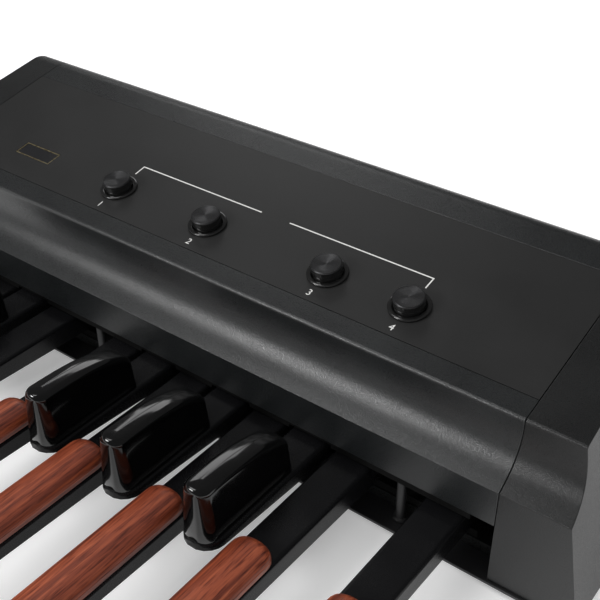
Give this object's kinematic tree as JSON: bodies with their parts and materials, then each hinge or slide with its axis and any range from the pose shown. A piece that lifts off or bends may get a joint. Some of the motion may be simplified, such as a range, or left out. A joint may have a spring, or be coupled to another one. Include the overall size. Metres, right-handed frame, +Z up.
{
  "type": "bass pedalboard",
  "caption": "Thirteen-note bass pedalboard: wooden naturals, gloss black sharps, a charcoal housing with a sloping panel and four push buttons.",
  "frame": {"origin": "on the floor, at the centre of the footprint", "axes": "+Z up, the player at -Y, the lowest note at -X, so +X runs along the row of pedals from low to high"},
  "size_m": [0.6216, 0.4814, 0.1394],
  "materials": {
    "charcoal_textured_paint": "fine textured satin",
    "charcoal_matt_paint": "matt",
    "charcoal_textured_plastic": "fine textured satin",
    "black_painted_steel": "satin",
    "black_rubber": "matt",
    "zinc_plated_steel": "satin",
    "spring_steel": "satin",
    "black_felt": "matt",
    "turned_black_button": "anodised, turned",
    "gloss_black_bezel": "gloss",
    "green_circuit_board": "satin",
    "black_socket_plastic": "satin",
    "badge_black": "gloss",
    "satin_black_lever": "satin",
    "reddish_hardwood": "lacquered",
    "gloss_black_plastic": "gloss"
  },
  "bodies": {
    "housing": {"housing_shell": "charcoal_textured_paint", "control_plate": "charcoal_matt_paint", "end_cap_left": "charcoal_textured_plastic", "end_cap_right": "charcoal_textured_plastic", "guide_comb": "charcoal_textured_plastic", "base_plate": "black_painted_steel", "connector_plate": "black_painted_steel", "pivot_comb": "black_painted_steel", "lip_post_1": "black_painted_steel", "lip_post_2": "black_painted_steel", "foot_1": "black_rubber", "foot_2": "black_rubber", "foot_3": "black_rubber", "foot_4": "black_rubber", "pivot_rod": "zinc_plated_steel", "stop_rail": "zinc_plated_steel", "spring_comb": "spring_steel", "upper_stop_felt": "black_felt", "lower_stop_felt": "black_felt", "button_bezel_1": "gloss_black_bezel", "button_bezel_2": "gloss_black_bezel", "button_bezel_3": "gloss_black_bezel", "button_bezel_4": "gloss_black_bezel", "control_board": "green_circuit_board", "sensor_board": "green_circuit_board", "midi_socket": "black_socket_plastic", "dc_socket": "black_socket_plastic", "badge_plate": "badge_black"},
    "pedal_c_low": {"lever_c_low": "satin_black_lever", "tread_c_low": "reddish_hardwood"},
    "pedal_c_sharp": {"lever_c_sharp": "satin_black_lever", "cap_c_sharp": "gloss_black_plastic"},
    "pedal_d": {"lever_d": "satin_black_lever", "tread_d": "reddish_hardwood"},
    "pedal_d_sharp": {"lever_d_sharp": "satin_black_lever", "cap_d_sharp": "gloss_black_plastic"},
    "pedal_e": {"lever_e": "satin_black_lever", "tread_e": "reddish_hardwood"},
    "pedal_f": {"lever_f": "satin_black_lever", "tread_f": "reddish_hardwood"},
    "pedal_f_sharp": {"lever_f_sharp": "satin_black_lever", "cap_f_sharp": "gloss_black_plastic"},
    "pedal_g": {"lever_g": "satin_black_lever", "tread_g": "reddish_hardwood"},
    "pedal_g_sharp": {"lever_g_sharp": "satin_black_lever", "cap_g_sharp": "gloss_black_plastic"},
    "pedal_a": {"lever_a": "satin_black_lever", "tread_a": "reddish_hardwood"},
    "pedal_a_sharp": {"lever_a_sharp": "satin_black_lever", "cap_a_sharp": "gloss_black_plastic"},
    "pedal_b": {"lever_b": "satin_black_lever", "tread_b": "reddish_hardwood"},
    "pedal_c_high": {"lever_c_high": "satin_black_lever", "tread_c_high": "reddish_hardwood"},
    "button_1": {"button_cap_1": "turned_black_button"},
    "button_2": {"button_cap_2": "turned_black_button"},
    "button_3": {"button_cap_3": "turned_black_button"},
    "button_4": {"button_cap_4": "turned_black_button"}
  },
  "joints": [
    {"name": "press_c_low", "type": "hinge", "parent": "housing", "child": "pedal_c_low", "pos_m": [-0.224, 0.205, 0.03], "axis": [1, 0, 0], "range_deg": [0, 1.9], "stiffness_Nm_per_rad": 20, "springref_deg": -8.59},
    {"name": "press_c_sharp", "type": "hinge", "parent": "housing", "child": "pedal_c_sharp", "pos_m": [-0.192, 0.205, 0.03], "axis": [1, 0, 0], "range_deg": [0, 2.9], "stiffness_Nm_per_rad": 20, "springref_deg": -8.59},
    {"name": "press_d", "type": "hinge", "parent": "housing", "child": "pedal_d", "pos_m": [-0.16, 0.205, 0.03], "axis": [1, 0, 0], "range_deg": [0, 1.9], "stiffness_Nm_per_rad": 20, "springref_deg": -8.59},
    {"name": "press_d_sharp", "type": "hinge", "parent": "housing", "child": "pedal_d_sharp", "pos_m": [-0.128, 0.205, 0.03], "axis": [1, 0, 0], "range_deg": [0, 2.9], "stiffness_Nm_per_rad": 20, "springref_deg": -8.59},
    {"name": "press_e", "type": "hinge", "parent": "housing", "child": "pedal_e", "pos_m": [-0.096, 0.205, 0.03], "axis": [1, 0, 0], "range_deg": [0, 1.9], "stiffness_Nm_per_rad": 20, "springref_deg": -8.59},
    {"name": "press_f", "type": "hinge", "parent": "housing", "child": "pedal_f", "pos_m": [-0.032, 0.205, 0.03], "axis": [1, 0, 0], "range_deg": [0, 1.9], "stiffness_Nm_per_rad": 20, "springref_deg": -8.59},
    {"name": "press_f_sharp", "type": "hinge", "parent": "housing", "child": "pedal_f_sharp", "pos_m": [0, 0.205, 0.03], "axis": [1, 0, 0], "range_deg": [0, 2.9], "stiffness_Nm_per_rad": 20, "springref_deg": -8.59},
    {"name": "press_g", "type": "hinge", "parent": "housing", "child": "pedal_g", "pos_m": [0.032, 0.205, 0.03], "axis": [1, 0, 0], "range_deg": [0, 1.9], "stiffness_Nm_per_rad": 20, "springref_deg": -8.59},
    {"name": "press_g_sharp", "type": "hinge", "parent": "housing", "child": "pedal_g_sharp", "pos_m": [0.064, 0.205, 0.03], "axis": [1, 0, 0], "range_deg": [0, 2.9], "stiffness_Nm_per_rad": 20, "springref_deg": -8.59},
    {"name": "press_a", "type": "hinge", "parent": "housing", "child": "pedal_a", "pos_m": [0.096, 0.205, 0.03], "axis": [1, 0, 0], "range_deg": [0, 1.9], "stiffness_Nm_per_rad": 20, "springref_deg": -8.59},
    {"name": "press_a_sharp", "type": "hinge", "parent": "housing", "child": "pedal_a_sharp", "pos_m": [0.128, 0.205, 0.03], "axis": [1, 0, 0], "range_deg": [0, 2.9], "stiffness_Nm_per_rad": 20, "springref_deg": -8.59},
    {"name": "press_b", "type": "hinge", "parent": "housing", "child": "pedal_b", "pos_m": [0.16, 0.205, 0.03], "axis": [1, 0, 0], "range_deg": [0, 1.9], "stiffness_Nm_per_rad": 20, "springref_deg": -8.59},
    {"name": "press_c_high", "type": "hinge", "parent": "housing", "child": "pedal_c_high", "pos_m": [0.224, 0.205, 0.03], "axis": [1, 0, 0], "range_deg": [0, 1.9], "stiffness_Nm_per_rad": 20, "springref_deg": -8.59},
    {"name": "push_1", "type": "slide", "parent": "housing", "child": "button_1", "axis": [0, 0.2018, -0.9794], "range_m": [0, 0.0012], "stiffness_N_per_m": 800, "springref_m": -0.002},
    {"name": "push_2", "type": "slide", "parent": "housing", "child": "button_2", "axis": [0, 0.2018, -0.9794], "range_m": [0, 0.0012], "stiffness_N_per_m": 800, "springref_m": -0.002},
    {"name": "push_3", "type": "slide", "parent": "housing", "child": "button_3", "axis": [0, 0.2018, -0.9794], "range_m": [0, 0.0012], "stiffness_N_per_m": 800, "springref_m": -0.002},
    {"name": "push_4", "type": "slide", "parent": "housing", "child": "button_4", "axis": [0, 0.2018, -0.9794], "range_m": [0, 0.0012], "stiffness_N_per_m": 800, "springref_m": -0.002}
  ]
}
